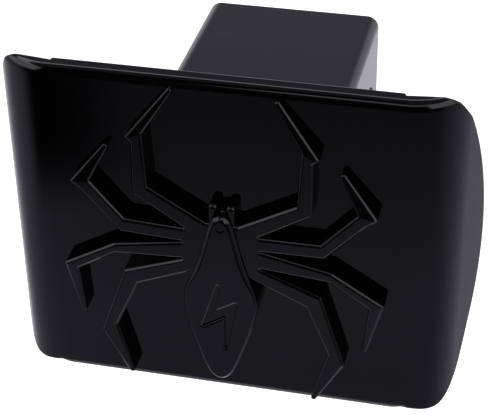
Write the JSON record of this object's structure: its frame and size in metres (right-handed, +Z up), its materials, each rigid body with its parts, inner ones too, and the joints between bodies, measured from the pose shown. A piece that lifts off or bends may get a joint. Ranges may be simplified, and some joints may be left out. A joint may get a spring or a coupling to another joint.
{
  "type": "hitch receiver cover",
  "caption": "Gloss black cover for a square trailer hitch receiver: a bent face plate with a cast spider badge, on a square tube with a cross hole for the hitch pin.",
  "frame": {"origin": "middle of the cross pin hole, on the axis of the square tube", "axes": "+X along the pin hole, to the right of someone who looks at the face plate; +Y along the tube into the receiver; +Z up"},
  "size_m": [0.1292, 0.0945, 0.0946],
  "materials": {
    "gloss_black_plate": "mirror gloss black coating on bent steel sheet",
    "gloss_black_tube": "gloss black coating on square steel tube",
    "black_weld": "satin black coating over the weld",
    "gloss_black_badge": "mirror gloss black coating on the cast badge",
    "zinc_steel": "bright zinc plate"
  },
  "bodies": {
    "root": {"face_plate": "gloss_black_plate", "receiver_tube": "gloss_black_tube", "weld_beads": "black_weld", "spider_badge": "gloss_black_badge", "washers": "zinc_steel", "nuts": "zinc_steel"}
  },
  "joints": []
}
